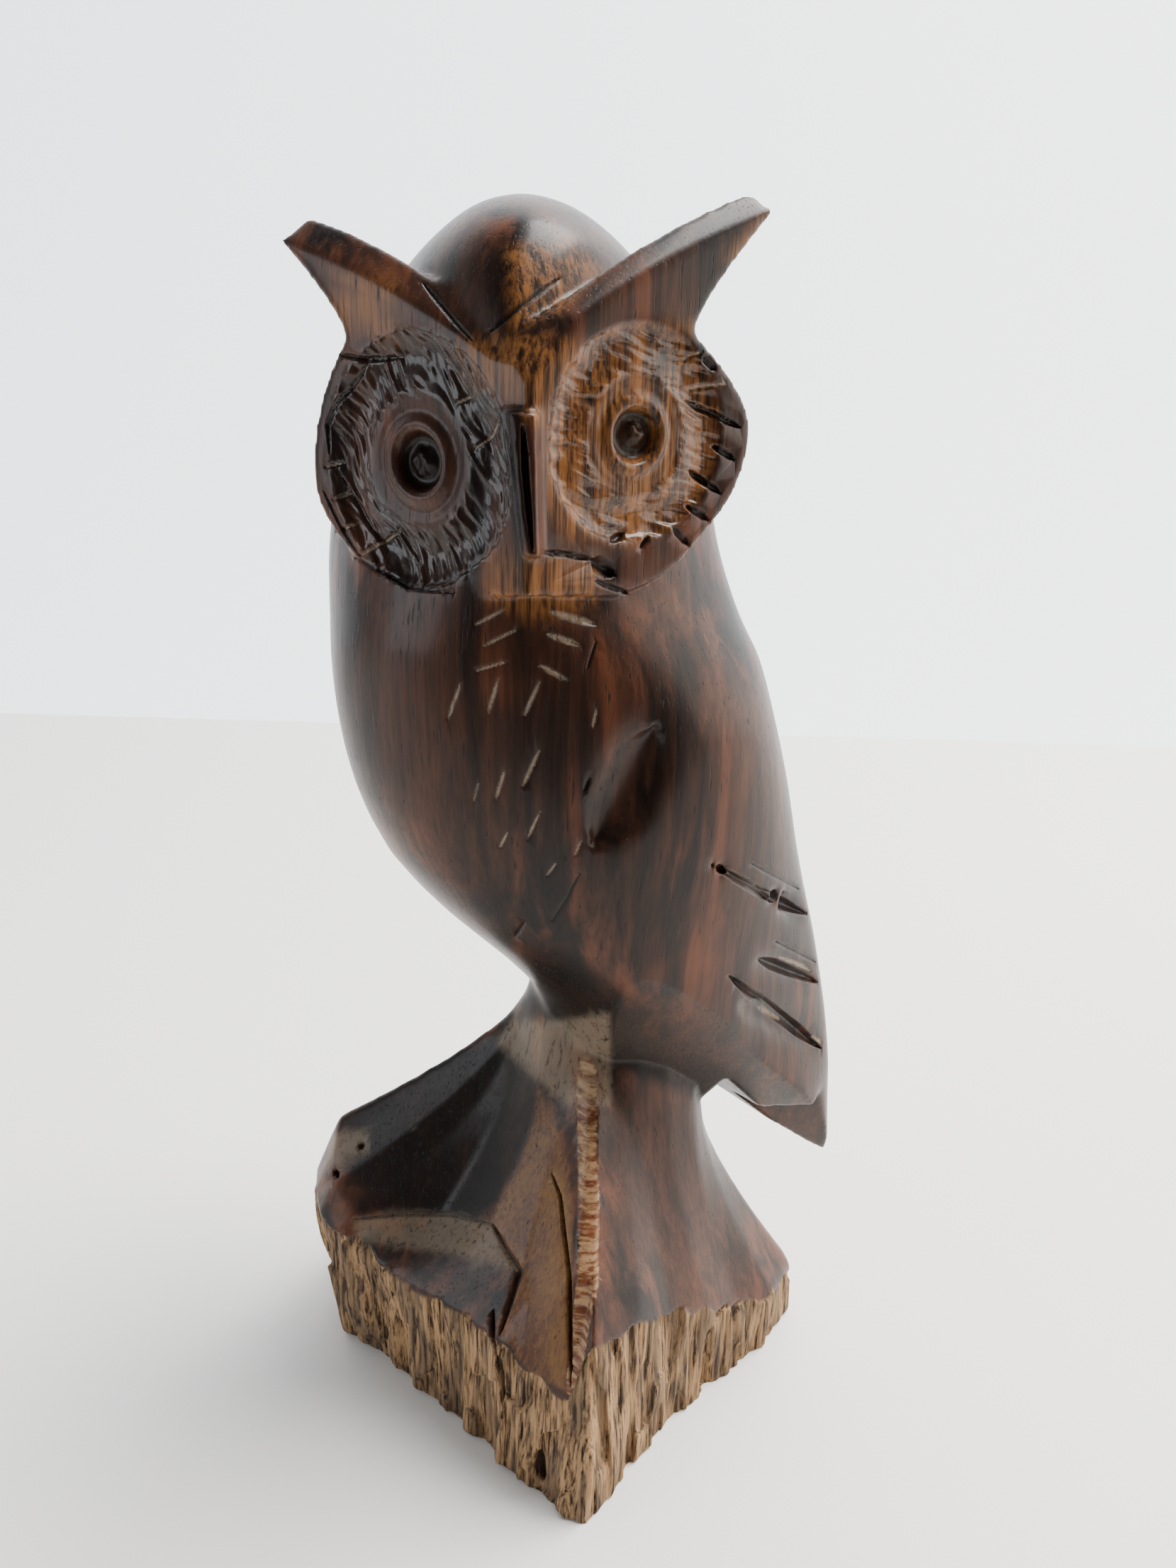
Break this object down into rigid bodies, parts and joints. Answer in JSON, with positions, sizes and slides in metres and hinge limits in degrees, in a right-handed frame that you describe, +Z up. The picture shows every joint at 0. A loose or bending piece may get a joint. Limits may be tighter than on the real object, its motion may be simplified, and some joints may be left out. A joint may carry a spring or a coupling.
{
  "type": "carved wooden owl figurine",
  "caption": "Perched owl with upswept ear tufts and dished eyes, carved from one hardwood log that stays rough and split at the base; it stands by its own weight.",
  "frame": {"origin": "on the table, under the middle of the carving's bounding box", "axes": "+Z up; the face looks towards -Y; the chest faces -X and the tail lies towards +X"},
  "size_m": [0.1211, 0.107, 0.2462],
  "materials": {
    "carved_hardwood": "dark heartwood, rubbed to a satin polish on the body and head, left split and matt tan on the base"
  },
  "bodies": {
    "root": {"owl_carving": "carved_hardwood"}
  },
  "joints": []
}
